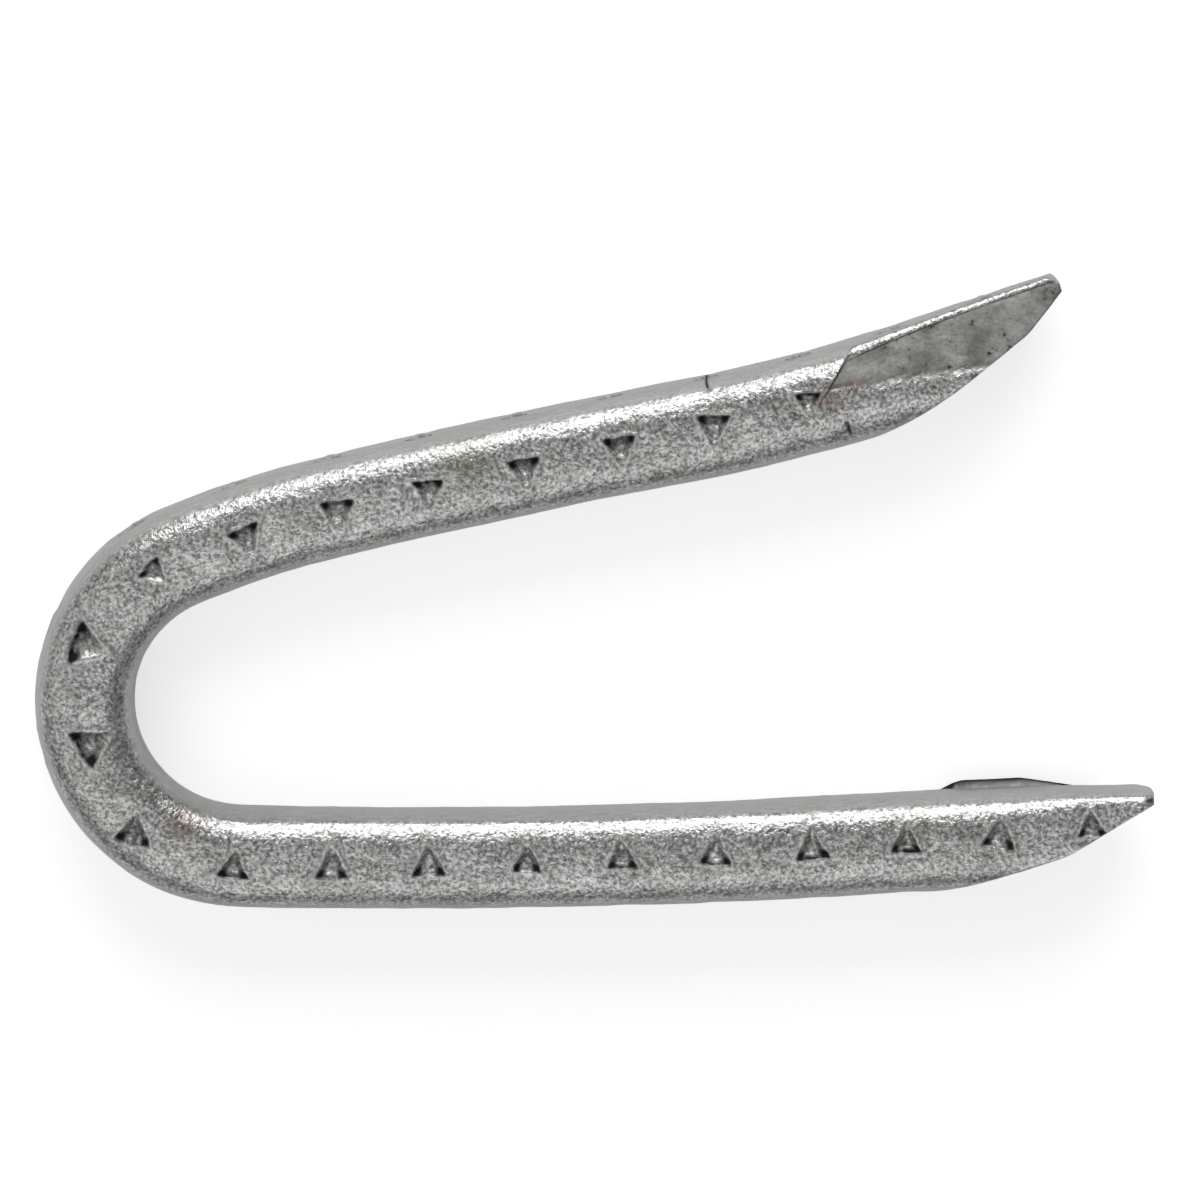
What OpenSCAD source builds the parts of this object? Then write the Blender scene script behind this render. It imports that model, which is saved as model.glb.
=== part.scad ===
// Barbed fence staple: one length of rolled and barbed wire, bent to a U whose legs splay,
// with a slash-cut point on each leg. It lies flat, front upwards. The origin is the centre
// of the crown's bend at the middle of the wire, +X runs between the legs to the points,
// +Y towards the upper leg. Millimetres.

/* [Wire] */
// Width of the wire across its rolled flats
wire_w = 3.8; // [3.2:0.1:4.6]
// Radius of the rounded corners between the flats
corner_r = 1.2; // [0.7:0.05:1.4]

/* [Crown] */
// Radius of the crown's bend, to the middle of the wire
crown_r = 6.1; // [5:0.1:9]
// Angle through which the crown turns the wire
crown_turn = 156; // [140:1:176]

/* [Upper leg] */
// Length of the shoulder that eases the crown into the leg
shoulder_l = 6.2; // [4:0.1:9]
// Inward turn of the shoulder
shoulder_turn = 9.2; // [2:0.1:14]
// Length of the leg's long run
run_l = 13.9; // [8:0.1:24]
// Inward turn of the long run
run_turn = 2.5; // [0.5:0.1:5]
// Length of the kick that throws the point outwards
kick_l = 9; // [6:0.1:12]
// Outward turn of the kick
kick_turn = 7.6; // [1:0.1:12]
// Length of the straight end of the upper leg
upper_end_l = 6.2; // [5:0.1:10]

/* [Lower leg] */
// Length of the lower leg's bowed run
bow_l = 23.9; // [15:0.1:34]
// Inward turn of the bowed run
bow_turn = 4.8; // [0.5:0.1:8]
// Length of the lower leg's end
lower_end_l = 11.15; // [9:0.05:14]
// Outward turn of that end
lower_end_turn = 3.2; // [0.5:0.1:4]

/* [Barb pits] */
// Distance between neighbouring pits along the wire
pit_pitch = 3.705; // [3:0.005:5]
// Distance of the pit nearest the crown's middle from that middle
pit_phase = -0.35; // [-1.5:0.05:1.5]
// Distance from each point within which the rollers left no pit
pit_margin = 1.6; // [1:0.1:4]
// Length of a pit's base along the wire
pit_base = 1.25; // [0.8:0.05:1.6]
// Height of a pit from base to apex
pit_height = 1.2; // [0.8:0.05:1.6]
// Depth of a pit at its base
pit_depth = 0.48; // [0.2:0.02:0.8]
// Lean of the punch, which leaves the pit shallower at its apex
punch_lean = 12; // [0:1:20]
// Offset of the front and back rows towards the outside of the crown
crown_row_offset = 0.2; // [0:0.05:0.4]
// Offset of these rows towards the outside of the upper leg
upper_row_offset = 0.15; // [0:0.05:0.3]
// Offset of these rows towards the inside of the lower leg
lower_row_offset = 0.2; // [0:0.05:0.3]
// Further offset of the last pit of a row, towards the edge that carries the tip
last_pit_shift = 0.45; // [0:0.05:0.5]
// Size of that last pit, as a share of the others
last_pit_size = 0.75; // [0.6:0.05:1]
// Width of the raised lip around a pit
lip_w = 0.14; // [0.08:0.02:0.3]
// Height of the raised lip
lip_h = 0.08; // [0.04:0.01:0.15]

/* [Points] */
// Length of the flat that the cutter pressed on one face of each point
flat_l = 8.8; // [6:0.1:11]
// Lean of that flat towards the edge that carries the tip
flat_lean = 18; // [5:1:30]
// Slope of that flat along the wire
flat_slope = 3.2; // [1:0.1:6]
// Depth of the step where the flat begins
flat_step = 0.15; // [0.05:0.01:0.4]
// Angle of the slash that makes the tip, from the wire's axis
slash_angle = 29; // [23:1:36]
// Angle of the gentler cut that runs into the slash
taper_angle = 17.5; // [10:0.5:20]
// Distance from the tip at which the gentler cut begins
taper_l = 7.7; // [6:0.1:8.5]
// Turn of both cuts about the wire's axis, towards the back of the staple
cut_turn = 16; // [0:1:30]
// Width of the upper point's blunt tip
upper_tip_w = 0.85; // [0.5:0.05:1.3]
// Width of the lower point's blunt tip
lower_tip_w = 0.45; // [0.3:0.05:1]
// Length of the burr along the edge of the pressed flat
burr_l = 6.6; // [4:0.1:8]
// Height of the lower point's burr
lower_burr_h = 0.18; // [0.1:0.02:0.5]
// Height of the upper point's burr
upper_burr_h = 0.12; // [0.06:0.02:0.5]
// Thickness of the burrs
burr_t = 0.3; // [0.2:0.02:0.5]

/* [Hidden] */
$fn = 96;

half_w = wire_w / 2;
flat_w = wire_w - 2 * corner_r;
// Reach and depth of the blocks that cut the points: past the wire and short of the other leg
cutter_l = 3 * wire_w;
cutter_d = 1.6 * wire_w;
// Every other stretch of wire is thinner by this much all round and runs into its neighbours
// by the lap, so that the joints between stretches close
joint_inset = 0.01;
joint_lap = 0.05;
// Facets of a full circle on the long bends
bend_fn = 720;

// Each stretch of a leg is [length, turn], from the crown outwards; a positive turn is outwards
upper_leg = [
    [shoulder_l, -shoulder_turn],
    [run_l, -run_turn],
    [kick_l, kick_turn],
    [upper_end_l, 0]
];
lower_leg = [
    [bow_l, -bow_turn],
    [lower_end_l, lower_end_turn]
];
upper_l = shoulder_l + run_l + kick_l + upper_end_l;
lower_l = bow_l + lower_end_l;
crown_half_l = crown_r * crown_turn / 2 * PI / 180;
// Pose of the crown's upper end; the lower one is its mirror image
crown_end = [
    -crown_r * cos(crown_turn / 2),
    crown_r * sin(crown_turn / 2),
    90 - crown_turn / 2
];

// A pose is [x, y, heading]. This one is reached from p along a length of wire that turns evenly
function advance(p, length, turn) =
    let(
        r = abs(turn) < 0.001 ? 0 : length * 180 / (PI * turn),
        ahead = r == 0 ? length : r * sin(turn),
        aside = r == 0 ? 0 : r * (1 - cos(turn))
    )
    [
        p.x + ahead * cos(p[2]) - aside * sin(p[2]),
        p.y + ahead * sin(p[2]) + aside * cos(p[2]),
        p[2] + turn
    ];

// Pose at distance s along a leg that starts at pose p
function along(p, leg, s, i = 0) =
    s <= leg[i][0] || i == len(leg) - 1
        ? advance(p, s, leg[i][1] * s / leg[i][0])
        : along(advance(p, leg[i][0], leg[i][1]), leg, s - leg[i][0], i + 1);

// Pose at distance s from the crown's middle, heading along the wire towards the upper point
function on_crown(s) =
    let(a = 180 - s / crown_r * 180 / PI)
    [crown_r * cos(a), crown_r * sin(a), a - 90];

// Offset, towards the outside, of a pit in the front or back row
function row_offset(s, is_last) =
    let(shift = is_last ? last_pit_shift : 0)
    abs(s) <= crown_half_l ? crown_row_offset
    : s > 0 ? upper_row_offset + shift
    : -lower_row_offset - shift;

function mirrored(p) = [p.x, -p.y, 180 - p[2]];

function on_wire(s) =
    abs(s) <= crown_half_l ? on_crown(s)
    : s > 0 ? along(crown_end, upper_leg, s - crown_half_l)
    : mirrored(along(crown_end, lower_leg, -s - crown_half_l));

// Pit stations that keep the given distances from the lower and the upper point
function stations(lower_gap, upper_gap) =
    let(
        first = ceil((lower_gap - crown_half_l - lower_l - pit_phase) / pit_pitch),
        last = floor((crown_half_l + upper_l - upper_gap - pit_phase) / pit_pitch)
    )
    [for (i = [first:last]) pit_phase + i * pit_pitch];

module place(p) {
    translate([p.x, p.y, 0])
        rotate([0, 0, p[2]])
            children();
}

module wire_section(inset = 0) {
    square([wire_w - 2 * inset, flat_w], center = true);
    square([flat_w, wire_w - 2 * inset], center = true);
    for (x = [-1, 1], y = [-1, 1])
        translate([x, y] * flat_w / 2)
            circle(r = corner_r - inset);
}

// Wire from the origin along +X, turning evenly towards +Y, or towards -Y if turn is negative
module stretch(length, turn, inset, lap) {
    if (turn == 0) {
        rotate([90, 0, 90])
            translate([0, 0, -lap])
                linear_extrude(length + 2 * lap)
                    wire_section(inset);
    } else {
        r = length * 180 / (PI * abs(turn));
        lap_turn = lap * 180 / (PI * r);
        start = turn > 0 ? -90 : 90 + turn;
        translate([0, sign(turn) * r, 0])
            rotate_extrude(angle = abs(turn) + 2 * lap_turn, start = start - lap_turn, $fn = bend_fn)
                translate([r, 0])
                    wire_section(inset, $fn = 96);
    }
}

// The first stretch and every other one after it lap into their neighbours
module leg_wire(leg, i = 0, start = crown_end) {
    lapped = i % 2 == 0;
    place(start)
        stretch(leg[i][0], leg[i][1], lapped ? joint_inset : 0, lapped ? joint_lap : 0);
    if (i < len(leg) - 1)
        leg_wire(leg, i + 1, advance(start, leg[i][0], leg[i][1]));
}

module crown_wire() {
    rotate_extrude(angle = crown_turn, start = 180 - crown_turn / 2)
        translate([crown_r, 0])
            wire_section();
}

// Triangle with its base towards +Y, grown by a margin on every side
module pit_outline(margin = 0) {
    side = sqrt(pow(pit_base / 2, 2) + pow(pit_height, 2));
    inner_r = pit_base * pit_height / (pit_base + 2 * side);
    scale((inner_r + margin) / inner_r)
        polygon([
            [-pit_base / 2, inner_r],
            [pit_base / 2, inner_r],
            [0, inner_r - pit_height]
        ]);
}

// Each pit has a frame of its own, with z out of the wire's face and y towards the pit's base.
// The front row stops at the upper point's pressed flat, and the back row at the lower one's
module pit_row(row) {
    for (s = row) {
        is_last = s == row[0] || s == row[len(row) - 1];
        place(on_wire(s))
            translate([0, row_offset(s, is_last), half_w])
                scale(is_last ? last_pit_size : 1)
                    children();
    }
}

module front_and_back_pits() {
    pit_row(stations(pit_margin, flat_l))
        children();
    mirror([0, 0, 1])
        pit_row(stations(flat_l, pit_margin))
            children();
}

module outer_pits() {
    for (s = stations(pit_margin, pit_margin))
        place(on_wire(s))
            rotate([-90, 0, 0])
                translate([0, 0, half_w])
                    children();
}

module pit_lip() {
    translate([0, 0, -lip_w])
        linear_extrude(lip_w + lip_h)
            pit_outline(lip_w);
}

module pit_hollow() {
    rotate([-punch_lean, 0, 0])
        translate([0, 0, -pit_depth])
            linear_extrude(2 * pit_depth)
                pit_outline();
}

// What the cutter takes off a point. The frame has its origin on the wire's axis at the leg's
// end and +X out of the leg; the tip stays at the +Y edge and the pressed flat is on the +Z face
module pressed_flat_cut() {
    reach = flat_w / 2 * (sin(flat_lean) + cos(flat_lean)) + corner_r;
    translate([-flat_l, 0, 0])
        rotate([-flat_lean, 0, 0])
            translate([0, 0, reach - flat_step])
                rotate([0, flat_slope, 0])
                    translate([0, -wire_w, 0])
                        cube([flat_l + wire_w, 2 * wire_w, wire_w]);
}

// Block below a plane that rises towards the tip at an angle, through a place on the staple's
// front, where face is 1 if that is the pressed face and -1 if it is the other
module rising_cut(angle, at_x, at_y, face) {
    translate([at_x, at_y, face * half_w])
        rotate([face * cut_turn, 0, 0])
            rotate([0, 0, angle])
                translate([-cutter_l, -cutter_d, -cutter_d])
                    cube([2 * cutter_l, cutter_d, 2 * cutter_d]);
}

module point_cuts(face, tip_w) {
    pressed_flat_cut();
    rising_cut(slash_angle, 0, half_w - tip_w, face);
    rising_cut(taper_angle, -taper_l, -half_w, face);
}

// Burr that the press raised along the tip's edge of the flat, a long low ridge
module burr(height) {
    root = corner_r / 2;
    steep = burr_l / 5;
    translate([-flat_l + steep / 2, half_w, flat_w / 2])
        linear_extrude(burr_t)
            polygon([
                [0, -root],
                [0, -corner_r / 8],
                [steep, height],
                [burr_l / 2, height],
                [burr_l, -corner_r / 8],
                [burr_l, -root]
            ]);
}

// Children are placed at a leg's end, with the tip's side as +Y and the pressed face as +Z
module at_upper_point() {
    place(along(crown_end, upper_leg, upper_l))
        children();
}

module at_lower_point() {
    mirror([0, 1, 0])
        place(along(crown_end, lower_leg, lower_l))
            rotate([180, 0, 0])
                children();
}

module staple() {
    color("silver")
        difference() {
            union() {
                crown_wire();
                leg_wire(upper_leg);
                mirror([0, 1, 0])
                    leg_wire(lower_leg);
                front_and_back_pits()
                    pit_lip();
                at_upper_point()
                    burr(upper_burr_h);
                at_lower_point()
                    burr(lower_burr_h);
            }
            front_and_back_pits()
                pit_hollow();
            outer_pits()
                pit_hollow();
            at_upper_point()
                point_cuts(1, upper_tip_w);
            at_lower_point()
                point_cuts(-1, lower_tip_w);
        }
}

staple();
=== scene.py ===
"""Looks of a barbed fence staple: rolled, barbed and hot-dip galvanised steel wire on a white sheet."""

import math

import bpy
import numpy as np
from mathutils import Matrix, Vector, noise


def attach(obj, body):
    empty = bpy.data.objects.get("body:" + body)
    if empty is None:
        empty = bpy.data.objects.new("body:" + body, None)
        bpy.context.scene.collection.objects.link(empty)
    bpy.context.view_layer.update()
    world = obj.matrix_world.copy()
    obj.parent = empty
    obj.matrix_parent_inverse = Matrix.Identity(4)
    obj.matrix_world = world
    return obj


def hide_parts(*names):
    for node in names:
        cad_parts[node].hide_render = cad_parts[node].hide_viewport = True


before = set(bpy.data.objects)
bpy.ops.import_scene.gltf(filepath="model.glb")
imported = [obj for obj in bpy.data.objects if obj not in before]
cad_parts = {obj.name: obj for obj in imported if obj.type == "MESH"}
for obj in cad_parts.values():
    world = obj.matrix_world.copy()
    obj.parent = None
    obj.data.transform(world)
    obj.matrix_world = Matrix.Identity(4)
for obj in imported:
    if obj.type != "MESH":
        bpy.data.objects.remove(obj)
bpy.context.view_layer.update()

MM = 0.001

# Wire and its bends, the sizes that the solid has, in millimetres and degrees
WIRE_W = 3.8
HALF_W = WIRE_W / 2
# Exponent of the section's curve: the rollers left flats that are crowned a little
SECTION_POWER = 3.0
CROWN_R = 6.1
CROWN_TURN = 156.0
CROWN_L = CROWN_R * math.radians(CROWN_TURN)
LOWER_END_L = 11.15
BOW_L = 23.9
# Each stretch from the lower point to the upper one: length, and turn to the left
STRETCHES = (
    (LOWER_END_L, 3.2),
    (BOW_L, -4.8),
    (CROWN_L, -CROWN_TURN),
    (6.2, -9.2),
    (13.9, -2.5),
    (9.0, 7.6),
    (6.2, 0.0),
)
LOWER_S = -(LOWER_END_L + BOW_L + CROWN_L / 2)
UPPER_S = LOWER_S + sum(length for length, _ in STRETCHES)

# Barb pits that the rollers pressed in at one pitch
PIT_PITCH = 3.705
PIT_PHASE = -0.35
PIT_BASE = 1.2
PIT_H = 1.2
PIT_DEPTH = 0.3
RIM_H = 0.05
RIM_W = 0.07
DIMPLE_R = 1.0
DIMPLE_D = 0.05
# How the front and back rows wander: station, and offset towards the outside
ROW_WANDER = (
    (-41.0, -0.7),
    (-37.0, -0.4),
    (-21.0, -0.24),
    (-8.0, 0.1),
    (-4.0, 0.3),
    (-0.3, -0.16),
    (3.4, 0.35),
    (10.7, 0.0),
    (22.0, 0.0),
    (33.0, 0.3),
)
# How the pitch drifts: station, and shift towards the upper point
PITCH_DRIFT = (
    (-41.0, 0.15),
    (-33.0, -0.2),
    (-19.0, -0.42),
    (-8.0, -0.33),
    (-4.0, 0.0),
    (11.0, 0.25),
    (18.0, 0.05),
    (33.0, 0.1),
)
LAST_PIT_SIZE = 0.8
# Pits that the bending opened in the crown: number, turn in degrees, size
CROWN_PITS = {-1: (30, 1.05), 0: (18, 1.3), 1: (4, 1.22), 2: (14, 0.78)}

# Cuts that make a point: a pressed flat, and two cuts that rise to the tip
FLAT_L = 8.8
FLAT_LEAN = math.radians(18)
FLAT_SLOPE = math.radians(3.2)
FLAT_STEP = 0.15
FLAT_HOLLOW = 0.05
# The cuts are reckoned with as far as this beyond the start of a pressed flat
END_MARGIN = 3.0
# The flat starts with a slanting step: its height, half its run, its slant, where it is straight
START_STEP = 0.6
START_HALF_RUN = 0.16
START_SLANT = 1.05
START_Y = 1.45
START_REACH = (-1.6, 0.3)
CUT_TURN = math.radians(16)
SLASH = math.radians(29)
TAPER = math.radians(17.5)
TAPER_L = 7.7
UPPER_TIP_W = 0.85
LOWER_TIP_W = 0.45
EDGE_R = 0.06
# How each tip is rounded: how far back, the height of its foremost place, and the reach of the round
UPPER_TIP_ROUND = (0.33, 1.25, 0.6)
LOWER_TIP_ROUND = (0.14, 1.62, 0.26)
# The rounded nose lies this far beyond the last ring, so that each tip ends blunt and not in a spike
TIP_SPARE = 0.1
TIP_EDGE_R = 0.15
# The pressed flat's inner corner is rounder than its edge
INNER_CORNER_R = 0.22
# Beads of squeezed metal along the pressed flats: radius, then where one starts, is full, falls, ends
UPPER_BEAD = (0.1, -9.5, -8.5, -0.3, 0.4)
LOWER_BEAD = (0.05, -8.6, -7.2, -5.2, -2.2)
BEAD_SUNK = 0.02
BEAD_ROOT = 0.06
BEAD_FALL = 0.85
BEAD_EDGE_R = 0.03
# The lower point's inner front corner was squeezed squarer
SQUEEZED_POWER = 6.5
SQUEEZED_FADE = (0.5, 6.5)
# The lower leg's section is rolled a little, which fades out before the crown
LOWER_ROLL = math.radians(3.0)
ROLL_FADE = (-14.0, -8.0)
# Fin of metal behind the lower point: its middle and half thickness from front to back, its top
FIN_Z = 1.06
FIN_HALF_T = 0.17
FIN_TOP = 2.1
FIN_ROOT = 1.6
FIN_FOOT = 1.0
FIN_EDGE_R = 0.08
# Where the fin rises, where it starts to fall, and the length of its fall
FIN_RISE = (-8.7, -7.1)
FIN_FALL = -5.0
FIN_FALL_L = 3.0

# Two hairline cracks in the zinc: place along the wire, face, reach across it
CRACKS = ((29.4, "outer", -0.9, 1.5), (34.3, "front", -1.5, -0.7))
CRACK_W = 0.07
CRACK_D = 0.04

rng = np.random.default_rng(7)


def hex_colour(code):
    """Linear colour from an sRGB hex value."""
    parts = [int(code[i : i + 2], 16) / 255 for i in (0, 2, 4)]
    linear = [c / 12.92 if c <= 0.04045 else ((c + 0.055) / 1.055) ** 2.4 for c in parts]
    return (*linear, 1.0)


def smooth_step(x, low, high):
    """Rises smoothly from 0 at low to 1 at high."""
    t = np.clip((x - low) / (high - low), 0, 1)
    return t * t * (3 - 2 * t)


def wire_path(s):
    """Place and heading of the wire's axis at each distance from the crown's middle."""
    fine = np.linspace(LOWER_S, UPPER_S, 9001)
    turn = np.zeros_like(fine)
    at = LOWER_S
    for length, degrees in STRETCHES:
        turn += math.radians(degrees) * np.clip((fine - at) / length, 0, 1)
        at += length
    heading = turn + math.pi / 2 - np.interp(0, fine, turn)
    step = fine[1] - fine[0]
    middle = (heading[1:] + heading[:-1]) / 2
    x = np.concatenate([[0], np.cumsum(np.cos(middle)) * step])
    y = np.concatenate([[0], np.cumsum(np.sin(middle)) * step])
    x += -CROWN_R - np.interp(0, fine, x)
    y -= np.interp(0, fine, y)
    return np.interp(s, fine, x), np.interp(s, fine, y), np.interp(s, fine, heading)


def soft_max(a, b, k=EDGE_R):
    """The larger of two fields, with the edge between them rounded."""
    h = np.clip(0.5 + (a - b) / (2 * k), 0, 1)
    return b + (a - b) * h + k * h * (1 - h)


def rolled_section(s, b, z):
    """Distance outside the rolled wire's section, which rolled a little in the lower leg."""
    roll = LOWER_ROLL * (1 - smooth_step(s, *ROLL_FADE))
    b, z = b * np.cos(roll) + z * np.sin(roll), z * np.cos(roll) - b * np.sin(roll)
    squeezed = (1 - smooth_step(s - LOWER_S, *SQUEEZED_FADE)) * (b < 0) * (z > 0)
    n = SECTION_POWER + (SQUEEZED_POWER - SECTION_POWER) * squeezed
    return (np.abs(b) ** n + np.abs(z) ** n) ** (1 / n) - HALF_W


def pressed_flat(x, y, z):
    """Distance outside the flat that the cutter pressed, and no flat before its start."""
    n = SECTION_POWER / (SECTION_POWER - 1)
    reach = HALF_W * (math.sin(FLAT_LEAN) ** n + math.cos(FLAT_LEAN) ** n) ** (1 / n) - FLAT_STEP
    slope_x = math.sin(FLAT_SLOPE)
    across = math.cos(FLAT_SLOPE)
    start = -FLAT_L + START_SLANT * np.clip(y - START_Y, *START_REACH)
    lift = START_STEP * (1 - smooth_step(x, start - START_HALF_RUN, start + START_HALF_RUN))
    height = y * math.sin(FLAT_LEAN) + z * math.cos(FLAT_LEAN)
    hollow = FLAT_HOLLOW * np.sin(np.clip((x + FLAT_L) / FLAT_L, 0, 1) * math.pi)
    return slope_x * (x + FLAT_L) + across * (height - reach) - lift + hollow


def rising_cut(x, y, z, angle, at_x, at_y, face):
    """Distance outside a cut that rises towards the tip's edge."""
    turn = face * CUT_TURN
    up = (y - at_y) * math.cos(turn) + (z - face * HALF_W) * math.sin(turn)
    return math.sin(angle) * (x - at_x) - math.cos(angle) * up


def edge_bead(x, y, flat, section, bead):
    """Distance outside the bead that was squeezed out along the pressed flat's outer edge."""
    radius, rise, full, fall, gone = bead
    along = smooth_step(x, rise, full) * (1 - BEAD_FALL * smooth_step(x, fall, gone))
    thick = (radius + BEAD_ROOT) * along * smooth_step(y, 0.2, 0.9) - BEAD_ROOT
    return np.hypot(flat + BEAD_SUNK, section - 0.5 * radius) - thick


def back_fin(x, y, z):
    """Distance outside the fin that was squeezed out behind the lower point."""
    along = smooth_step(x, *FIN_RISE) * (1 - np.clip((x - FIN_FALL) / FIN_FALL_L, 0, 1))
    top = y - FIN_ROOT - (FIN_TOP - FIN_ROOT) * along
    return soft_max(soft_max(np.abs(z - FIN_Z) - FIN_HALF_T, top, FIN_EDGE_R), FIN_FOOT - y)


def outside_wire(s, b, z):
    """Distance outside the staple, in the frame that follows the wire."""
    section = rolled_section(s, b, z)
    field = section
    for end, side, tip_w, bead, tip_round in (
        (UPPER_S, 1, UPPER_TIP_W, UPPER_BEAD, UPPER_TIP_ROUND),
        (LOWER_S, -1, LOWER_TIP_W, LOWER_BEAD, LOWER_TIP_ROUND),
    ):
        x, y, w = (s - end) * side, b * side, z * side
        flat = pressed_flat(x, y, w)
        slash = rising_cut(x, y, w, SLASH, 0, HALF_W - tip_w, side)
        taper = rising_cut(x, y, w, TAPER, -TAPER_L, -HALF_W, side)
        back, foremost, reach = tip_round
        nose = x - TIP_SPARE + back * np.clip((y - foremost) / reach, -1.2, 2.0) ** 2
        cuts = soft_max(soft_max(slash, taper), nose, TIP_EDGE_R)
        body = soft_max(section, flat, EDGE_R + INNER_CORNER_R * (1 - smooth_step(y, 0.0, 1.0)))
        body = -soft_max(-body, -edge_bead(x, y, flat, section, bead), BEAD_EDGE_R)
        if side < 0:
            body = -soft_max(-body, -back_fin(x, y, w))
        field = np.where(x > -FLAT_L - END_MARGIN, soft_max(body, cuts), field)
    return field


def pit_station(i):
    """Place along the wire of the pit with this number."""
    even = PIT_PHASE + PIT_PITCH * i
    return even + np.interp(even, *zip(*PITCH_DRIFT))


# Steps between rings: at the pits and how much more between them, at cracks, flats and tips
PIT_STEP = 0.072
PLAIN_STEP_MORE = 0.13
FLAT_START_STEP = 0.08
CRACK_STEP = 0.035
FLAT_RING_STEP = 0.1
TIP_STEP = 0.05
# Steps between columns on each side of the wire, and in the corners in radians
COLUMN_STEPS = (("front", 0.066), ("outer", 0.085), ("back", 0.09), ("inner", 0.25))
CORNER_STEP = 0.095


def ring_stations():
    """Distances along the wire at which a ring of the mesh lies, closer at the pits and points."""
    fine = np.linspace(LOWER_S + 0.01, UPPER_S - 0.01, 20001)
    stations = np.array([pit_station(i) for i in range(-12, 13)])
    nearest = np.abs(fine[:, None] - stations).min(axis=1)
    spacing = PIT_STEP + PLAIN_STEP_MORE * smooth_step(nearest, 0.85, 1.15)
    spacing = np.where(np.abs(fine - UPPER_S + FLAT_L + 0.7) < 1.2, FLAT_START_STEP, spacing)
    for at, *_ in CRACKS:
        spacing = np.where(np.abs(fine - at) < 0.2, CRACK_STEP, spacing)
    spacing = np.where(fine > UPPER_S - FLAT_L, np.minimum(spacing, FLAT_RING_STEP), spacing)
    spacing = np.where(fine < LOWER_S + 1.0, TIP_STEP, spacing)
    spacing = np.where(fine > UPPER_S - 1.0, TIP_STEP, spacing)
    density = np.concatenate([[0], np.cumsum((1 / spacing)[1:] * (fine[1] - fine[0]))])
    count = int(density[-1])
    return np.interp(np.linspace(0, density[-1], count), density, fine)


def column_angles():
    """Directions round the section, closer where the rows of pits lie."""
    ring = []
    turn = {"front": 90, "outer": 0, "back": -90, "inner": 180}
    for name, spacing in COLUMN_STEPS:
        half = 0.7 if name == "inner" else 0.95
        count = round(2 * half / spacing)
        across = np.linspace(-half, half, count)
        ring.extend(math.radians(turn[name]) + np.arctan2(across, HALF_W))
    ring = np.sort(np.mod(ring, 2 * math.pi))
    closed = np.append(ring, ring[0] + 2 * math.pi)
    angles = []
    for low, high in zip(closed[:-1], closed[1:]):
        parts = max(1, math.ceil((high - low) / CORNER_STEP))
        angles.extend(low + (high - low) * np.arange(parts) / parts)
    return np.array(angles)


# Length of the rays that look for the surface, and how often each is halved
RAY_L = 6.0
HALVINGS = 34


def on_surface(s, centre_b, centre_z, angle):
    """Places where rays from a centre of the section meet the surface, found by halving."""
    low = np.zeros_like(angle)
    high = np.full_like(angle, RAY_L)
    ahead_b, ahead_z = np.cos(angle), np.sin(angle)
    for _ in range(HALVINGS):
        middle = (low + high) / 2
        out = outside_wire(s, centre_b + middle * ahead_b, centre_z + middle * ahead_z) > 0
        high = np.where(out, middle, high)
        low = np.where(out, low, middle)
    return centre_b + low * ahead_b, centre_z + low * ahead_z


def section_centres(s):
    """The deepest place of each section, which moves towards the tip where the wire is cut."""
    across = np.linspace(-HALF_W, HALF_W, 97)
    grid_b, grid_z = np.meshgrid(across, across, indexing="ij")
    centre = np.zeros((len(s), 2))
    for i, at in enumerate(s):
        if LOWER_S + FLAT_L + END_MARGIN < at < UPPER_S - FLAT_L - END_MARGIN:
            continue
        field = outside_wire(at, grid_b, grid_z)
        weight = np.maximum(-field - 0.6 * max(-field.min(), 0), 0) + 1e-12
        centre[i] = (grid_b * weight).sum() / weight.sum(), (grid_z * weight).sum() / weight.sum()
    return centre[:, :1], centre[:, 1:]


# Steps round the section in which its outline is measured
ROUND_STEPS = 720
# Columns that the cuts' edges draw to themselves, in millimetres of run for a radian of bend
EDGE_PULL = 0.55
EDGE_WINDOW = np.hanning(21) / np.hanning(21).sum()
GLIDE_WINDOW = np.hanning(17) / np.hanning(17).sum()


def ring_grid(s, angles):
    """Section coordinates of every ring. Where the wire is cut, the columns share its outline."""
    centre_b, centre_z = section_centres(s)
    fine = np.linspace(0, 2 * math.pi, ROUND_STEPS + 1)
    full_b, full_z = on_surface(np.zeros((1, 1)), 0.0, 0.0, fine[None])
    full_run = np.concatenate([[0], np.cumsum(np.hypot(np.diff(full_b[0]), np.diff(full_z[0])))])
    share = np.interp(angles, fine, full_run / full_run[-1])
    found = np.tile(angles, (len(s), 1))
    for i, at in enumerate(s):
        if centre_b[i] != 0 or centre_z[i] != 0:
            ring_b, ring_z = on_surface(at, centre_b[i], centre_z[i], fine)
            step_b, step_z = np.diff(ring_b), np.diff(ring_z)
            facing = np.unwrap(np.arctan2(step_z, step_b))
            bend = np.abs(np.diff(facing, append=facing[0] + 2 * math.pi))
            spread = np.convolve(np.tile(bend, 3), EDGE_WINDOW, "same")[ROUND_STEPS : 2 * ROUND_STEPS]
            near_end = 1 - smooth_step(min(at - LOWER_S, UPPER_S - at), FLAT_L, FLAT_L + 2.5)
            weight = np.hypot(step_b, step_z) + EDGE_PULL * near_end * spread
            run = np.concatenate([[0], np.cumsum(weight)])
            found[i] = np.interp(share, run / run[-1], fine)
    # The columns glide from ring to ring
    edge = len(GLIDE_WINDOW) // 2
    padded = np.pad(found, ((edge, edge), (0, 0)), "edge")
    found = np.apply_along_axis(lambda line: np.convolve(line, GLIDE_WINDOW, "valid"), 0, padded)
    grid_b, grid_z = on_surface(s[:, None], centre_b, centre_z, found)
    return grid_b, grid_z, centre_b, centre_z


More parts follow.
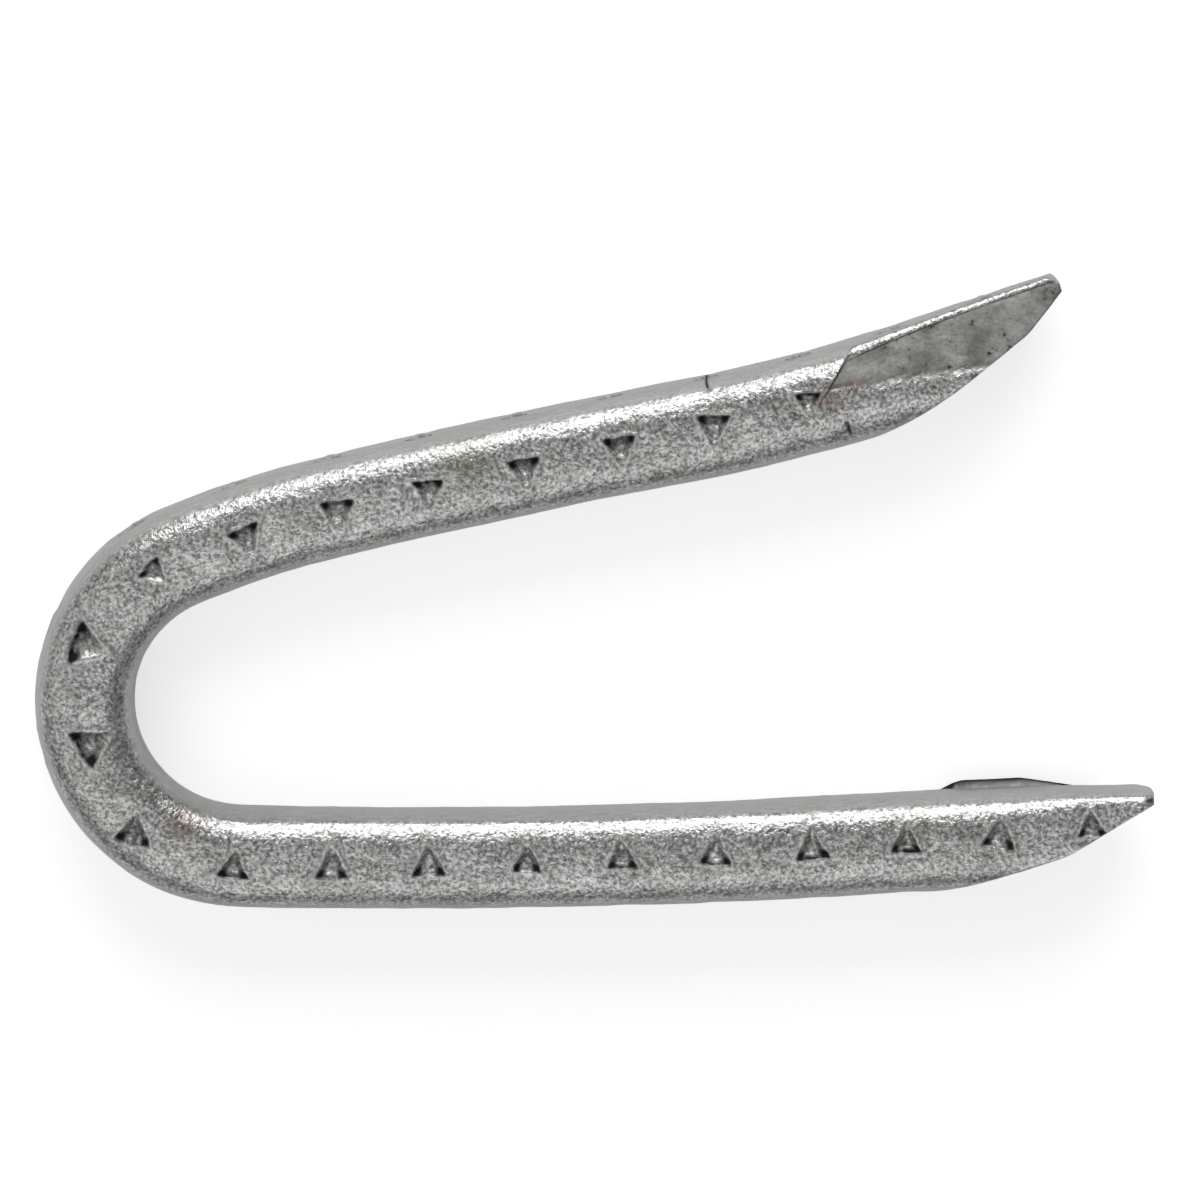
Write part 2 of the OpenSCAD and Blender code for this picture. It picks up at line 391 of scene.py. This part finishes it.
def surface_normals(s, b, z):
    """Outward directions of the surface, from how the distance outside it grows."""
    e = 0.01
    n = np.stack(
        [
            outside_wire(s + e, b, z) - outside_wire(s - e, b, z),
            outside_wire(s, b + e, z) - outside_wire(s, b - e, z),
            outside_wire(s, b, z + e) - outside_wire(s, b, z - e),
        ]
    )
    return n / np.maximum(np.linalg.norm(n, axis=0), 1e-9)


# Share of a pit's height that lies on its apex's side of its middle, and its base's roundness
APEX_SHARE = 0.64
BASE_ROUND = 0.14
# How far in from the outline a pit's wall starts and ends
WALL = (-0.04, 0.24)


def barb_pit(a, c, turn, size, depth, round_r, darkening, soot, speckle):
    """Height, darkness and raised edge of one pit: a rounded triangle with its base towards +c. Dirt
    sits in a broken line round its floor and in the base's corners, and the raised edge carries a
    painted highlight."""
    ca, sa = math.cos(turn), math.sin(turn)
    u, v = (a * ca + c * sa) / size, (c * ca - a * sa) / size
    side = math.hypot(PIT_BASE / 2, PIT_H)
    lean_u, lean_v = PIT_H / side, PIT_BASE / 2 / side
    apex_v = -PIT_H * APEX_SHARE
    edge_right = -(u * lean_u - (v - apex_v) * lean_v)
    edge_left = -(-u * lean_u - (v - apex_v) * lean_v)
    edge_base = apex_v + PIT_H - v
    inside = -soft_max(soft_max(-edge_right, -edge_left, round_r), -edge_base, BASE_ROUND)
    wall = smooth_step(inside, *WALL)
    corner = smooth_step(np.abs(u), 0.1, 0.36) * smooth_step(v, -0.1, 0.25)
    hollow = depth * wall * (0.6 + 0.3 * smooth_step(v, -0.5, 0.35) + 0.25 * corner)
    # The raised edge round the pit, also used as a painted highlight
    rim_and_highlight = np.exp(-(((inside + 0.08) / RIM_W) ** 2)) * (0.8 + 0.3 * np.sin(2.5 * u + 9 * turn))
    far = np.exp(-((u**2 + v**2) / DIMPLE_R**2) ** 2)
    broken = smooth_step(speckle, -0.3, 0.3)
    line = np.exp(-(((inside - 0.05) / 0.04) ** 2)) * (0.1 + 0.65 * broken)
    lip = smooth_step(inside, -0.09, 0.0)
    base_line = np.exp(-(((edge_base - 0.03) / 0.1) ** 2)) * lip * (soot + 0.4 * broken)
    halo = np.exp(-(((inside + 0.24) / 0.08) ** 2)) * (0.02 + 0.2 * broken)
    floor = wall * (darkening + 0.5 * speckle)
    dark = np.maximum.reduce([line, base_line, 1.1 * corner * lip, halo, floor])
    return RIM_H * rim_and_highlight - hollow - DIMPLE_D * far, dark, rim_and_highlight


def row_offset(at):
    """Offset of a pit in the front or back row towards the outside."""
    return np.interp(at, *zip(*ROW_WANDER))


# Stains on the front: place along the wire, place across it, reach
RUST = ((33.9, 0.25, 0.5), (34.9, 0.5, 0.35), (-5.6, -1.0, 0.55))
OLIVE = ((-34.5, -0.9, 0.5), (19.8, 0.6, 0.8))


def stain_field(s, b, facing, places):
    """How strongly the front is stained round these places."""
    field = np.zeros_like(s)
    for at, across, reach in places:
        field = np.maximum(field, np.exp(-((s - at) ** 2 + (b - across) ** 2) / reach**2))
    return field * smooth_step(facing, 0.2, 0.6)


def rough_noise(points, scale, octaves=1):
    """Smooth noise from -1 to 1 at places in millimetres, with features of about that size."""
    out = np.zeros(len(points))
    weight, total = 1.0, 0.0
    for _ in range(octaves):
        out += weight * np.array([noise.noise(Vector(p)) for p in points / scale])
        total += weight
        weight *= 0.5
        scale /= 2.1
    return out / total


# Shifts that make one noise differ from another
WARP_SHIFT = 30
SPECKLE_SHIFT = 60
FINE_SHIFT = 50
# How far the pits' outlines wander, and the height and size of the zinc's swells
WARP = 0.1
SWELL_H = 0.03
SWELL_L = 2.6
FINE_SWELL_H = 0.016
FINE_SWELL_L = 0.75
# Dirt on the floors of the pits in the outer row, in the legs and in the crown
OUTER_DIRT = 0.6
LEG_DIRT = 0.25
CROWN_DIRT = 0.32
OUTER_PIT_SIZE = 0.85
# How pits differ: turn in degrees, size, share of the depth, shift along the wire, dirt at the base
PIT_TURNS = (-8, 8)
PIT_SIZES = (0.92, 1.06)
DEPTH_SHARES = (0.85, 1.15)
PIT_SHIFTS = (-0.03, 0.03)
BASE_DIRT = (0.3, 1.0)
# Roundness of the pits' side corners in the lower leg and in the upper one
LOWER_ROUNDS = (0.14, 0.22)
UPPER_ROUNDS = (0.24, 0.42)
PIT_SURROUND = 2.2
# Dirt at each tip: place along the wire, place across it, reach
TIP_DIRT = ((UPPER_S - 0.45, 1.4, 0.33), (LOWER_S + 0.15, -1.65, 0.2))


def surface_relief(s, grid_s, grid_b, grid_z, normal):
    """Height of the pits and cracks, how dark they and the tips leave the surface, with painted shade
    on the fin behind the lower point, and the painted highlight on the pits' raised edges.
    """
    height = np.zeros_like(grid_b)
    dark = np.zeros_like(grid_b)
    painted_highlight = np.zeros_like(grid_b)
    wander = np.stack([grid_s.ravel(), grid_b.ravel(), grid_z.ravel()], axis=1)
    warp_a = WARP * rough_noise(wander, 0.55, 2).reshape(grid_s.shape)
    warp_c = WARP * rough_noise(wander + WARP_SHIFT, 0.55, 2).reshape(grid_s.shape)
    speckle = 1.6 * rough_noise(wander + SPECKLE_SHIFT, 0.2).reshape(grid_s.shape)
    rows = {
        "front": (normal[2], LOWER_S + 1.6, UPPER_S - FLAT_L),
        "outer": (normal[1], LOWER_S + 1.6, UPPER_S - 1.6),
        "back": (-normal[2], LOWER_S + FLAT_L, UPPER_S - 1.6),
    }
    for row, (face, first, last) in rows.items():
        facing = smooth_step(face, 0.35, 0.75)
        low = math.ceil((first - PIT_PHASE) / PIT_PITCH)
        high = math.floor((last - PIT_PHASE) / PIT_PITCH)
        for i in range(low, high + 1):
            turn = math.radians(rng.uniform(*PIT_TURNS))
            size = rng.uniform(*PIT_SIZES)
            depth = PIT_DEPTH * rng.uniform(*DEPTH_SHARES)
            at = pit_station(i) + rng.uniform(*PIT_SHIFTS)
            soot = rng.uniform(*BASE_DIRT)
            round_r = rng.uniform(*(LOWER_ROUNDS if at < 0 else UPPER_ROUNDS))
            if row == "outer":
                darkening = OUTER_DIRT
                across = grid_z
                size *= OUTER_PIT_SIZE
            else:
                across = grid_b - row_offset(at)
                if i in (low, high):
                    size *= LAST_PIT_SIZE
                darkening = LEG_DIRT
                if i in CROWN_PITS:
                    darkening = CROWN_DIRT
                    degrees, size = CROWN_PITS[i]
                    turn = math.radians(degrees)
            near = np.flatnonzero(np.abs(s - at) < PIT_SURROUND)
            rise, shade, lip = barb_pit(
                (grid_s + warp_a)[near] - at,
                (across + warp_c)[near],
                turn,
                size,
                depth,
                round_r,
                darkening,
                soot,
                speckle[near],
            )
            height[near] += rise * facing[near]
            dark[near] = np.maximum(dark[near], shade * facing[near])
            # Painted highlight on the pits' raised edges
            painted_highlight[near] = np.maximum(painted_highlight[near], lip * facing[near])
    for at, row, low, high in CRACKS:
        across = grid_z if row == "outer" else grid_b
        line = np.exp(-(((grid_s + 0.5 * warp_a - at) / CRACK_W) ** 2))
        reach = smooth_step(across, low, low + 0.2) * (1 - smooth_step(across, high - 0.2, high))
        line *= reach * smooth_step(rows[row][0], 0.5, 0.7)
        height -= CRACK_D * line
        dark = np.maximum(dark, 1.1 * line)
    # Painted shade: the fin behind the lower point and the wire beside it are darkened like their
    # shaded side
    fin = back_fin(LOWER_S - grid_s, -grid_b, -grid_z)
    behind = smooth_step(-grid_z, 0.6, 0.8) * smooth_step(-grid_b, 1.2, 1.6)
    dark = np.maximum(dark, 1.08 * (1 - smooth_step(fin, 0.02, 0.1)) * behind)
    for end, across, reach in TIP_DIRT:
        soot = np.exp(-((grid_s - end) ** 2 + (grid_b - across) ** 2) / reach**2)
        dark = np.maximum(dark, soot * smooth_step(speckle, -0.4, 0.4))
    return height, dark, painted_highlight


def placed_points(s, grid_b, grid_z, centre_b, centre_z, normal, height):
    """Every point in metres, with the relief and the zinc's swells, and both tips' middles last."""
    x0, y0, heading = wire_path(s)
    ahead = np.stack([np.cos(heading), np.sin(heading)])
    base_b = grid_b + height * normal[1]
    base_z = grid_z + height * normal[2]
    base_a = height * normal[0]
    px = x0[:, None] - np.sin(heading)[:, None] * base_b + ahead[0][:, None] * base_a
    py = y0[:, None] + np.cos(heading)[:, None] * base_b + ahead[1][:, None] * base_a
    points = np.stack([px.ravel(), py.ravel(), base_z.ravel()], axis=1)
    swell = SWELL_H * rough_noise(points, SWELL_L)
    swell += FINE_SWELL_H * rough_noise(points + FINE_SHIFT, FINE_SWELL_L, 2)
    nx = (ahead[0][:, None] * normal[0] - np.sin(heading)[:, None] * normal[1]).ravel()
    ny = (ahead[1][:, None] * normal[0] + np.cos(heading)[:, None] * normal[1]).ravel()
    out = np.stack([nx, ny, normal[2].ravel()], axis=1)
    points += out * swell[:, None]
    ends = []
    for i in (0, len(s) - 1):
        cb, cz = float(centre_b[i, 0]), float(centre_z[i, 0])
        ends.append(
            (x0[i] - math.sin(heading[i]) * cb, y0[i] + math.cos(heading[i]) * cb, cz)
        )
    return np.vstack([points, ends]) * MM


def grid_faces(rings, columns):
    """Four-sided faces between the rings, and a fan of triangles that closes each tip."""
    ring, column = np.meshgrid(np.arange(rings - 1), np.arange(columns), indexing="ij")
    after = (column + 1) % columns
    quads = np.stack(
        [
            ring * columns + column,
            ring * columns + after,
            (ring + 1) * columns + after,
            (ring + 1) * columns + column,
        ],
        axis=-1,
    ).reshape(-1, 4)
    last = (rings - 1) * columns
    tips = rings * columns
    faces = quads.tolist()
    for k in range(columns):
        j = (k + 1) % columns
        faces.append((tips, j, k))
        faces.append((tips + 1, last + k, last + j))
    return faces


def surface_kinds(grid_s, grid_b, grid_z, normal):
    """How strongly each place is sheared steel, a drawn side, rusty or olive."""
    section = rolled_section(grid_s, grid_b, grid_z)
    x = grid_s - UPPER_S
    flat = pressed_flat(x, grid_b, grid_z)
    bead = edge_bead(x, grid_b, flat, section, UPPER_BEAD)
    sheared = smooth_step(flat, -0.04, -0.01) * (x > -FLAT_L - 2.2) * smooth_step(bead, 0, 0.03)
    drawn = 1 - smooth_step(np.abs(normal[2]), 0.5, 0.72)
    rust, olive = (stain_field(grid_s, grid_b, normal[2], places) for places in (RUST, OLIVE))
    return {"sheared": sheared, "drawn": drawn, "rust": rust, "olive": olive}


def staple_mesh():
    """The staple in its rest place, with a field for each thing that its colour follows."""
    s = ring_stations()
    angles = column_angles()
    grid_b, grid_z, centre_b, centre_z = ring_grid(s, angles)
    rings, columns = grid_b.shape
    grid_s = np.repeat(s[:, None], columns, axis=1)
    normal = surface_normals(grid_s, grid_b, grid_z)
    height, dark, painted_highlight = surface_relief(s, grid_s, grid_b, grid_z, normal)
    points = placed_points(s, grid_b, grid_z, centre_b, centre_z, normal, height)
    mesh = bpy.data.meshes.new("staple_wire")
    mesh.from_pydata(points.tolist(), [], grid_faces(rings, columns))
    mesh.update()
    kinds = surface_kinds(grid_s, grid_b, grid_z, normal)
    # The pit field holds the dark marks and the painted shade on the fin behind the lower point, and
    # the other holds the painted highlight on the pits' raised edges
    for name, field in {"pit": dark, "rim_and_highlight": painted_highlight, **kinds}.items():
        attribute = mesh.attributes.new(name, "FLOAT", "POINT")
        values = np.concatenate([field.ravel(), [0.0, 0.0]]).astype(np.float32)
        attribute.data.foreach_set("value", values)
    around = np.repeat(angles[None] * HALF_W, rings, axis=0)
    lay = np.stack([grid_s, around, np.zeros_like(grid_s)], axis=-1).reshape(-1, 3)
    lay = np.vstack([lay, lay[:2]]).astype(np.float32)
    attribute = mesh.attributes.new("lay", "FLOAT_VECTOR", "POINT")
    attribute.data.foreach_set("vector", lay.ravel())
    mesh.shade_smooth()
    return mesh


def add_node(tree, kind, settings=None, inputs=None):
    """Adds a node with its settings. Each input is linked to a socket or set to a value."""
    node = tree.nodes.new(kind)
    for name, value in (settings or {}).items():
        setattr(node, name, value)
    for name, value in (inputs or {}).items():
        if isinstance(value, bpy.types.NodeSocket):
            tree.links.new(value, node.inputs[name])
        else:
            node.inputs[name].default_value = value
    return node


# Sizes in the zinc in millimetres. Real grain is finer, and is drawn coarser so that it shows
GRAIN_MM = 0.14
CRUMPLE_MM = 0.4
BLOTCH_MM = 1.6
# Smears along the drawn sides: how wide they are, and how much they are squeezed along the wire
SMEAR_MM = 0.1
SMEAR_SQUEEZE = 0.12
NOISE_ROUGHNESS = 0.6
# Tones: name, the pattern they follow, then where the dark one and the light one lie in it
TONES = (
    ("zinc", "grain", (0.36, "949493"), (0.64, "F2F2F1")),
    ("patches", "blotch", (0.3, "DADAD9"), (0.7, "FFFFFF")),
    ("smears", "smear", (0.3, "B6B6B5"), (0.7, "CECECD")),
    ("bare", "blotch", (0.4, "82827F"), (0.6, "B2B2AF")),
    ("specks", "crumple", (0.26, "303030"), (0.36, "FFFFFF")),
)
# Painted highlight: a lighter tone on the pits' raised edges, where they catch the light
RIM_HIGHLIGHT_COLOUR = "DADAD8"
RUST_COLOUR = "8A6A5A"
OLIVE_COLOUR = "86866A"
# Dark colour for the dirt in the pits and at the tips and for the cracks, also used as painted shade on
# the fin behind the lower point
DIRT_AND_SHADE_COLOUR = "1E1D1C"
# Roughness of the zinc where its grain is dark and light
ZINC_ROUGH = (0.28, 0.46)
BUMP_STRENGTH = 0.9
BUMP_MM = 0.05
# Dirt, and the painted shade on the fin behind the lower point, have little gloss of their own
DIRT_AND_SHADE_SPECULAR = 0.1


def galvanised_steel():
    """Hot-dip galvanised steel: matt grey zinc that froze as a fine grain, dull and dark in the pits,
    with a painted highlight on their raised edges and painted shade on the fin behind the lower point,
    and bare smoother steel where the cutter pressed."""
    material = bpy.data.materials.new("hot_dip_galvanised_steel")
    material.use_nodes = True
    tree = material.node_tree
    tree.nodes.clear()
    place = add_node(tree, "ShaderNodeTexCoord").outputs["Object"]
    masks = {
        name: add_node(tree, "ShaderNodeAttribute", {"attribute_name": name}).outputs["Fac"]
        for name in ("pit", "rim_and_highlight", "sheared", "drawn", "rust", "olive")
    }
    lay = add_node(tree, "ShaderNodeAttribute", {"attribute_name": "lay"}).outputs["Vector"]
    squeeze = {"Vector": lay, "Scale": (SMEAR_SQUEEZE, 1.0, 1.0)}
    along_wire = add_node(tree, "ShaderNodeMapping", {}, squeeze).outputs["Vector"]
    patterns = {}
    for name, where, size, detail in (
        ("grain", place, GRAIN_MM * MM, 2.0),
        ("crumple", place, CRUMPLE_MM * MM, 2.0),
        ("blotch", place, BLOTCH_MM * MM, 4.0),
        ("smear", along_wire, SMEAR_MM, 2.0),
    ):
        inputs = {"Vector": where, "Scale": 1 / size, "Detail": detail, "Roughness": NOISE_ROUGHNESS}
        patterns[name] = add_node(tree, "ShaderNodeTexNoise", {}, inputs).outputs["Fac"]
    tones = {}
    for name, pattern, *ends in TONES:
        ramp = add_node(tree, "ShaderNodeValToRGB", {}, {"Fac": patterns[pattern]})
        for element, (at, code) in zip(ramp.color_ramp.elements, ends):
            element.position = at
            element.color = hex_colour(code)
        tones[name] = ramp.outputs["Color"]
    for name, over in (("zinc", "patches"), ("bare", "specks")):
        settings = {"data_type": "RGBA", "blend_type": "MULTIPLY"}
        inputs = {"Factor": 1.0, "A": tones[name], "B": tones[over]}
        tones[name] = add_node(tree, "ShaderNodeMix", settings, inputs).outputs["Result"]
    # What covers the zinc, the topmost last: its colour, its mask, and how much it covers
    colour = tones["zinc"]
    for over, mask, share in (
        (tones["smears"], "drawn", 0.85),
        (tones["bare"], "sheared", 0.92),
        # Painted highlight on the pits' raised edges
        (hex_colour(RIM_HIGHLIGHT_COLOUR), "rim_and_highlight", 0.5),
        (hex_colour(RUST_COLOUR), "rust", 0.55),
        (hex_colour(OLIVE_COLOUR), "olive", 0.5),
        # Dirt in the pits and at the tips, the cracks, and painted shade on the fin behind the lower
        # point
        (hex_colour(DIRT_AND_SHADE_COLOUR), "pit", 0.92),
    ):
        inputs = {0: masks[mask], 1: share}
        amount = add_node(tree, "ShaderNodeMath", {"operation": "MULTIPLY"}, inputs).outputs[0]
        inputs = {"Factor": amount, "A": colour, "B": over}
        colour = add_node(tree, "ShaderNodeMix", {"data_type": "RGBA"}, inputs).outputs["Result"]
    inputs = {"Value": patterns["grain"], "To Min": ZINC_ROUGH[0], "To Max": ZINC_ROUGH[1]}
    zinc_rough = add_node(tree, "ShaderNodeMapRange", {}, inputs).outputs["Result"]
    # Dirt, and the painted shade on the fin behind the lower point, are no metal and duller, and the
    # drawn sides and the sheared steel are smooth
    values = {"darkening": amount, "zinc_rough": zinc_rough, **masks, **patterns}
    for name, operation, first, second in (
        ("metal", "SUBTRACT", 1.0, "darkening"),
        ("darkened_rough", "MULTIPLY", "darkening", 0.5),
        ("rough", "ADD", "zinc_rough", "darkened_rough"),
        ("drawn_smooth", "MULTIPLY", "drawn", 0.8),
        ("sheared_smooth", "MULTIPLY", "sheared", 0.85),
        ("smooth", "MAXIMUM", "drawn_smooth", "sheared_smooth"),
        ("uneven", "SUBTRACT", 1.0, "smooth"),
        ("grain_height", "MULTIPLY", "grain", 0.7),
        ("crumple_height", "MULTIPLY", "crumple", 1.2),
        ("full_height", "ADD", "grain_height", "crumple_height"),
        ("height", "MULTIPLY", "full_height", "uneven"),
    ):
        inputs = {0: values.get(first, first), 1: values.get(second, second)}
        values[name] = add_node(tree, "ShaderNodeMath", {"operation": operation}, inputs).outputs[0]
    inputs = {"Strength": BUMP_STRENGTH, "Distance": BUMP_MM * MM, "Height": values["height"]}
    bump = add_node(tree, "ShaderNodeBump", {}, inputs)
    inputs = {
        "Base Color": colour,
        "Metallic": values["metal"],
        "Roughness": values["rough"],
        "Specular IOR Level": DIRT_AND_SHADE_SPECULAR,
        "Normal": bump.outputs["Normal"],
    }
    shader = add_node(tree, "ShaderNodeBsdfPrincipled", {}, inputs)
    add_node(tree, "ShaderNodeOutputMaterial", {}, {"Surface": shader.outputs["BSDF"]})
    return material


# Light that the white sheet gives to the camera, and to a mirror that looks at it
SHEET_SEEN = 0.62
SHEET_MIRRORED = 0.18
SHEET_COLOUR = "D8D8D8"
SHEET_ROUGH = 0.9


def white_sheet():
    """White matt card that shows the camera a clean white and keeps the staple's shadow."""
    material = bpy.data.materials.new("white_card")
    material.use_nodes = True
    tree = material.node_tree
    tree.nodes.clear()
    seen = add_node(tree, "ShaderNodeLightPath")
    lit = 0.0
    for ray, strength in (
        ("Is Camera Ray", SHEET_SEEN),
        ("Is Transmission Ray", SHEET_SEEN),
        ("Is Glossy Ray", SHEET_MIRRORED),
    ):
        inputs = {0: seen.outputs[ray], 1: strength}
        share = add_node(tree, "ShaderNodeMath", {"operation": "MULTIPLY"}, inputs)
        inputs = {0: lit, 1: share.outputs[0]}
        lit = add_node(tree, "ShaderNodeMath", {"operation": "MAXIMUM"}, inputs).outputs[0]
    inputs = {
        "Base Color": hex_colour(SHEET_COLOUR),
        "Roughness": SHEET_ROUGH,
        "Emission Color": (1.0, 1.0, 1.0, 1.0),
        "Emission Strength": lit,
    }
    shader = add_node(tree, "ShaderNodeBsdfPrincipled", {}, inputs)
    add_node(tree, "ShaderNodeOutputMaterial", {}, {"Surface": shader.outputs["BSDF"]})
    return material


def link(obj):
    """Puts an object in the scene."""
    bpy.context.scene.collection.objects.link(obj)
    return obj


# The staple, one mesh in place of its solid
wire = link(bpy.data.objects.new("staple_wire", staple_mesh()))
wire.data.materials.append(galvanised_steel())
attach(wire, "root")
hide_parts("staple")

# The white sheet that the staple lies on, with the lips of its back pits
LIP_H = 0.08
REST_Z = -(HALF_W + LIP_H) * MM
SHEET_HALF = 2.0
sheet = bpy.data.meshes.new("sheet")
sheet.from_pydata(
    [
        (-SHEET_HALF, -SHEET_HALF, REST_Z),
        (SHEET_HALF, -SHEET_HALF, REST_Z),
        (SHEET_HALF, SHEET_HALF, REST_Z),
        (-SHEET_HALF, SHEET_HALF, REST_Z),
    ],
    [],
    [(0, 1, 2, 3)],
)
floor = link(bpy.data.objects.new("sheet", sheet))
floor.data.materials.append(white_sheet())

# The camera: the picture's right and up lie turned about Z, and it looks down, tilted a little
PICTURE_TURN = math.radians(-10.69)
TILT = math.radians(10)
PICTURE_W_PX = 1200
PX_PER_MM = 26.07
VIEW_W = PICTURE_W_PX / PX_PER_MM * MM
DISTANCE = 0.6
turned = Matrix.Rotation(PICTURE_TURN, 3, "Z")
right = turned @ Vector((1, 0, 0))
up = turned @ Vector((0, math.cos(TILT), -math.sin(TILT)))
back = turned @ Vector((0, math.sin(TILT), math.cos(TILT)))
# The crown's centre is this far left of the picture's middle and below it
CROWN_LEFT = 13.66 * MM
CROWN_BELOW = 3.822 * MM
target = right * CROWN_LEFT + up * CROWN_BELOW
camera = link(bpy.data.objects.new("camera", bpy.data.cameras.new("camera")))
SENSOR_W = 36
camera.data.sensor_width = SENSOR_W
camera.data.lens = SENSOR_W * DISTANCE / VIEW_W
camera.data.clip_start = 0.01
camera.data.clip_end = 10
camera.matrix_world = Matrix(
    (
        (right.x, up.x, back.x, target.x + back.x * DISTANCE),
        (right.y, up.y, back.y, target.y + back.y * DISTANCE),
        (right.z, up.z, back.z, target.z + back.z * DISTANCE),
        (0, 0, 0, 1),
    )
)
bpy.context.scene.camera = camera


def soft_box(name, azimuth, elevation, distance, size, watts):
    """A square lamp that faces the staple. Azimuth 0 is the picture's top, 90 its right."""
    a, e = math.radians(azimuth), math.radians(elevation)
    aside = turned @ Vector((math.sin(a), math.cos(a), 0))
    spot = aside * math.cos(e) * distance + Vector((0, 0, math.sin(e) * distance))
    lamp = bpy.data.lights.new(name, "AREA")
    lamp.shape = "SQUARE"
    lamp.size = size
    lamp.energy = watts
    box = link(bpy.data.objects.new(name, lamp))
    box.location = spot
    box.rotation_mode = "QUATERNION"
    box.rotation_quaternion = spot.to_track_quat("Z", "Y")


# Lamps: name, azimuth, elevation, distance, size, watts
for lamp_values in (
    ("key_box", 0, 25, 0.8, 0.68, 5.2),
    ("fill_box", 180, 59, 0.8, 0.6, 1.15),
    ("left_box", 270, 45, 0.8, 0.6, 0.8),
):
    soft_box(*lamp_values)

WORLD_LIGHT = 0.2
world = bpy.data.worlds.new("studio")
bpy.context.scene.world = world
world.use_nodes = True
sky = world.node_tree.nodes["Background"]
sky.inputs["Color"].default_value = (1, 1, 1, 1)
sky.inputs["Strength"].default_value = WORLD_LIGHT

bpy.context.scene.view_settings.view_transform = "Standard"
